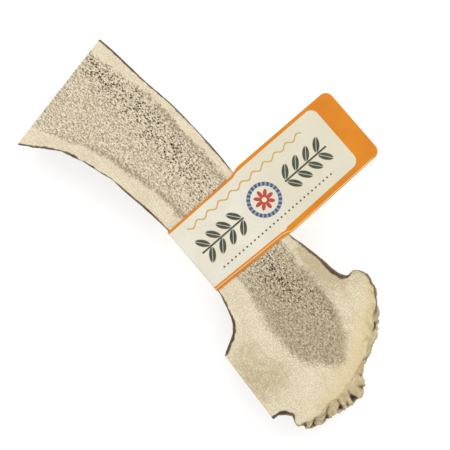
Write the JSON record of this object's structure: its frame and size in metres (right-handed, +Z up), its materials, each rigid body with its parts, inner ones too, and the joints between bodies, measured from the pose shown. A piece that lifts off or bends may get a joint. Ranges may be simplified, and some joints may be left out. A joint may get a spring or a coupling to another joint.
{
  "type": "split elk antler",
  "caption": "Antler base sawn in half along its length, with its marrow face up, a knobbly burr, a sawn tine stub, and a paper band wrapped round the beam.",
  "frame": {"origin": "on the resting surface, under the centre of the whole object's box", "axes": "+X along the beam from the far saw cut to the burr, +Y to the side where the label's flag stands out, +Z up, out of the split marrow face"},
  "size_m": [0.2118, 0.1276, 0.0344],
  "materials": {
    "antler": "matte",
    "paper_label": "satin"
  },
  "bodies": {
    "root": {"antler": "antler", "paper_label": "paper_label"}
  },
  "joints": []
}
